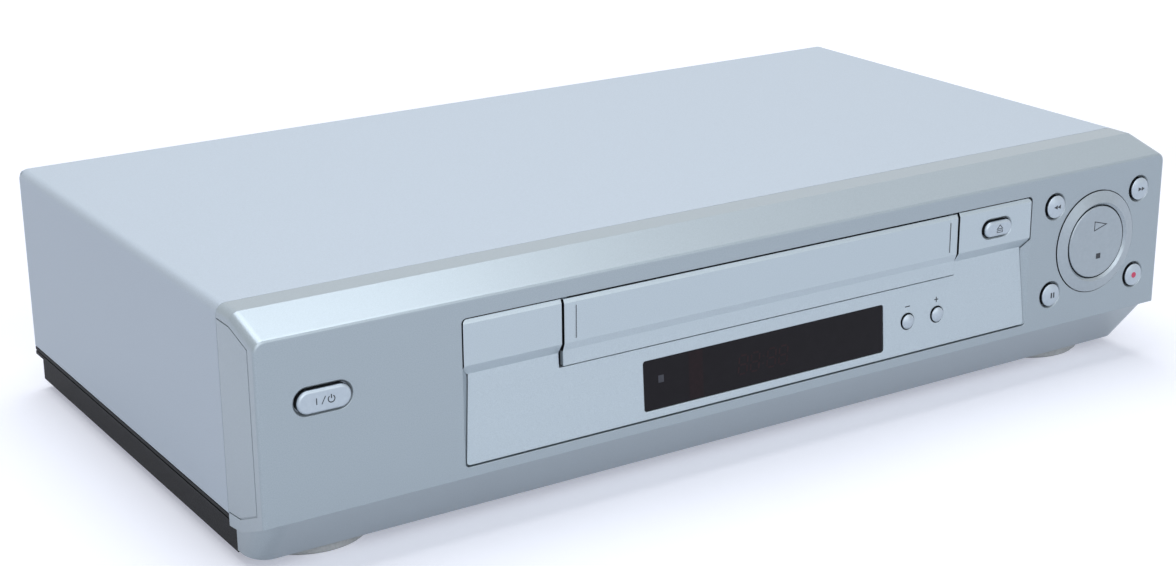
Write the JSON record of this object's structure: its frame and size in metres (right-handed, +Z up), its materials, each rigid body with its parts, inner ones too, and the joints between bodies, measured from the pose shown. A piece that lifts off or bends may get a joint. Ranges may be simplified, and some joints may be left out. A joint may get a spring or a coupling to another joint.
{
  "type": "video cassette recorder",
  "caption": "Front-loading video cassette recorder with hinged cassette flap, control ring and buttons, folded cover, rear sockets and a working tape deck inside",
  "frame": {"origin": "on the table, under the middle of the whole recorder", "axes": "+X to the right seen from the front, +Y from front to back, +Z up"},
  "size_m": [0.43, 0.2456, 0.0982],
  "materials": {
    "cover_paint": "fine metallic silver paint",
    "fascia_silver": "silver-pigmented moulded plastic",
    "panel_silver": "silver-pigmented moulded plastic, slightly lighter",
    "ring_silver": "satin silver plating",
    "button_silver": "satin silver caps",
    "smoked_window": "polished dark smoked acrylic",
    "chassis_black": "textured black plastic",
    "foot_grey": "light grey elastomer",
    "panel_zinc": "grey coated steel sheet",
    "plated_steel": "zinc-plated pressed steel",
    "screw_steel": "blackened and plated screws",
    "spring_steel": "spring wire and turned steel",
    "drum_aluminium": "diamond-turned aluminium",
    "cast_metal": "cast aluminium",
    "rotor_steel": "turned and plated steel",
    "brass_bearing": "sintered bronze bearing and stator",
    "black_rubber": "ground black rubber",
    "gear_plastic": "white acetal gears",
    "guide_plastic": "black moulded carriages with steel posts",
    "motor_steel": "plated can",
    "head_metal": "lapped head faces",
    "board_laminate": "paper-laminate circuit board",
    "switch_black": "small key switches",
    "tube_glass": "evacuated display glass",
    "lamp_clear": "clear light guide on a small foot",
    "transformer_tape": "ferrite with yellow tape",
    "capacitor_sleeve": "dark sleeving",
    "socket_black": "black socket mouldings",
    "socket_metal": "tinned socket shells"
  },
  "bodies": {
    "case": {"aerial_sockets": "socket_metal", "audio_control_head": "head_metal", "capstan_housing": "brass_bearing", "chassis_base": "chassis_black", "control_ring": "ring_silver", "deck_plate": "plated_steel", "display_tube": "tube_glass", "display_window": "smoked_window", "drive_belt": "black_rubber", "drum_base": "cast_metal", "fascia": "fascia_silver", "feet": "foot_grey", "flap_spring": "spring_steel", "front_board": "board_laminate", "full_erase_head": "head_metal", "guide_rails": "cast_metal", "insert_panel": "panel_silver", "lamp_post": "lamp_clear", "loading_motor": "motor_steel", "lower_drum": "drum_aluminium", "main_board": "board_laminate", "mains_inlet": "socket_black", "phono_sockets": "socket_black", "power_board": "board_laminate", "power_transformer": "transformer_tape", "rear_panel": "panel_zinc", "scart_sockets": "socket_metal", "screws": "screw_steel", "side_frames": "plated_steel", "smoothing_capacitors": "capacitor_sleeve", "tact_switches": "switch_black", "top_cover": "cover_paint", "tuner_can": "plated_steel"},
    "flap": {"cassette_flap": "panel_silver"},
    "power": {"power_button": "button_silver"},
    "eject": {"eject_button": "button_silver"},
    "rewind": {"rewind_button": "button_silver"},
    "fast_forward": {"fast_forward_button": "button_silver"},
    "pause": {"pause_button": "button_silver"},
    "record": {"record_button": "button_silver"},
    "channel_down": {"channel_down_button": "button_silver"},
    "channel_up": {"channel_up_button": "button_silver"},
    "play_stop": {"play_stop_button": "button_silver"},
    "drum": {"upper_drum": "drum_aluminium", "drum_rotor": "rotor_steel"},
    "capstan": {"capstan": "rotor_steel"},
    "clutch": {"clutch_pulley": "gear_plastic"},
    "idler_arm": {"idler_arm": "rotor_steel"},
    "idler_gear": {"idler_gear": "gear_plastic"},
    "supply_reel": {"supply_reel": "gear_plastic"},
    "takeup_reel": {"takeup_reel": "gear_plastic"},
    "pinch_arm": {"pinch_arm": "rotor_steel"},
    "pinch_roller": {"pinch_roller": "black_rubber"},
    "tension_arm": {"tension_arm": "rotor_steel"},
    "supply_guide": {"supply_guide": "guide_plastic"},
    "takeup_guide": {"takeup_guide": "guide_plastic"},
    "cam_gear": {"cam_gear": "gear_plastic"},
    "worm": {"worm": "spring_steel"},
    "carriage": {"carriage": "plated_steel"},
    "cassette_holder": {"cassette_holder": "plated_steel"}
  },
  "joints": [
    {"name": "flap_hinge", "type": "hinge", "parent": "case", "child": "flap", "pos_m": [0.0015, -0.1164, 0.0885], "axis": [1, 0, 0], "range_deg": [0, 90], "stiffness_Nm_per_rad": 0.01, "springref_deg": -17.19},
    {"name": "power_press", "type": "slide", "parent": "case", "child": "power", "axis": [0, 1, 0], "range_m": [0, 0.0006], "stiffness_N_per_m": 400, "springref_m": -0.001},
    {"name": "eject_press", "type": "slide", "parent": "case", "child": "eject", "axis": [0, 1, 0], "range_m": [0, 0.0006], "stiffness_N_per_m": 400, "springref_m": -0.001},
    {"name": "rewind_press", "type": "slide", "parent": "case", "child": "rewind", "axis": [0, 1, 0], "range_m": [0, 0.0006], "stiffness_N_per_m": 400, "springref_m": -0.001},
    {"name": "fast_forward_press", "type": "slide", "parent": "case", "child": "fast_forward", "axis": [0, 1, 0], "range_m": [0, 0.0006], "stiffness_N_per_m": 400, "springref_m": -0.001},
    {"name": "pause_press", "type": "slide", "parent": "case", "child": "pause", "axis": [0, 1, 0], "range_m": [0, 0.0006], "stiffness_N_per_m": 400, "springref_m": -0.001},
    {"name": "record_press", "type": "slide", "parent": "case", "child": "record", "axis": [0, 1, 0], "range_m": [0, 0.0006], "stiffness_N_per_m": 400, "springref_m": -0.001},
    {"name": "channel_down_press", "type": "slide", "parent": "case", "child": "channel_down", "axis": [0, 1, 0], "range_m": [0, 0.0006], "stiffness_N_per_m": 400, "springref_m": -0.001},
    {"name": "channel_up_press", "type": "slide", "parent": "case", "child": "channel_up", "axis": [0, 1, 0], "range_m": [0, 0.0006], "stiffness_N_per_m": 400, "springref_m": -0.001},
    {"name": "play_stop_rock", "type": "hinge", "parent": "case", "child": "play_stop", "pos_m": [0.1758, -0.1155, 0.0595], "axis": [1, 0, 0], "range_deg": [-3.4, 3.4], "stiffness_Nm_per_rad": 0.4},
    {"name": "drum_spin", "type": "hinge", "parent": "case", "child": "drum", "pos_m": [0.0015, 0.0568, 0.0384], "axis": [0, 0.0872, 0.9962], "continuous": true},
    {"name": "capstan_spin", "type": "hinge", "parent": "case", "child": "capstan", "pos_m": [0.054, 0.0258, 0], "axis": [0, 0, 1], "continuous": true},
    {"name": "clutch_spin", "type": "hinge", "parent": "case", "child": "clutch", "pos_m": [0.0015, -0.0129, 0], "axis": [0, 0, 1], "continuous": true},
    {"name": "idler_swing", "type": "hinge", "parent": "case", "child": "idler_arm", "pos_m": [0.0015, -0.0129, 0], "axis": [0, 0, 1], "range_deg": [-14, 14]},
    {"name": "idler_spin", "type": "hinge", "parent": "idler_arm", "child": "idler_gear", "pos_m": [0.0015, -0.0422, 0], "axis": [0, 0, 1], "continuous": true},
    {"name": "supply_reel_spin", "type": "hinge", "parent": "case", "child": "supply_reel", "pos_m": [-0.044, -0.0422, 0], "axis": [0, 0, 1], "continuous": true},
    {"name": "takeup_reel_spin", "type": "hinge", "parent": "case", "child": "takeup_reel", "pos_m": [0.047, -0.0422, 0], "axis": [0, 0, 1], "continuous": true},
    {"name": "cam_turn", "type": "hinge", "parent": "case", "child": "cam_gear", "pos_m": [-0.058, 0.0288, 0], "axis": [0, 0, 1], "range_deg": [0, 150]},
    {"name": "worm_spin", "type": "hinge", "parent": "case", "child": "worm", "pos_m": [-0.058, 0.0566, 0.0225], "axis": [1, 0, 0], "range_deg": [0, 9000]},
    {"name": "pinch_arm_swing", "type": "hinge", "parent": "case", "child": "pinch_arm", "pos_m": [0.076, 0.0148, 0], "axis": [0, 0, 1], "range_deg": [-39.5, 0]},
    {"name": "pinch_roller_spin", "type": "hinge", "parent": "pinch_arm", "child": "pinch_roller", "pos_m": [0.05972, 0.00463, 0], "axis": [0, 0, 1], "continuous": true},
    {"name": "tension_arm_swing", "type": "hinge", "parent": "case", "child": "tension_arm", "pos_m": [-0.0745, 0.0068, 0], "axis": [0, 0, 1], "range_deg": [0, 30]},
    {"name": "supply_guide_slide", "type": "slide", "parent": "case", "child": "supply_guide", "axis": [-0.2425, 0.9701, 0], "range_m": [0, 0.04947]},
    {"name": "takeup_guide_slide", "type": "slide", "parent": "case", "child": "takeup_guide", "axis": [0.2425, 0.9701, 0], "range_m": [0, 0.04947]},
    {"name": "carriage_slide", "type": "slide", "parent": "case", "child": "carriage", "axis": [0, 1, 0], "range_m": [0, 0.066]},
    {"name": "holder_lower", "type": "slide", "parent": "carriage", "child": "cassette_holder", "axis": [0, 0, -1], "range_m": [0, 0.02]}
  ],
  "couplings": [
    {"joint": "clutch_spin", "follows": "capstan_spin", "ratio": 0.61538},
    {"joint": "idler_spin", "follows": "capstan_spin", "ratio": -0.2735},
    {"joint": "worm_spin", "follows": "cam_turn", "ratio": 60},
    {"joint": "pinch_arm_swing", "follows": "cam_turn", "ratio": -0.26331},
    {"joint": "tension_arm_swing", "follows": "cam_turn", "ratio": 0.19998},
    {"joint": "supply_guide_slide", "follows": "cam_turn", "m_per_rad": 0.018894},
    {"joint": "takeup_guide_slide", "follows": "cam_turn", "m_per_rad": 0.018894}
  ]
}
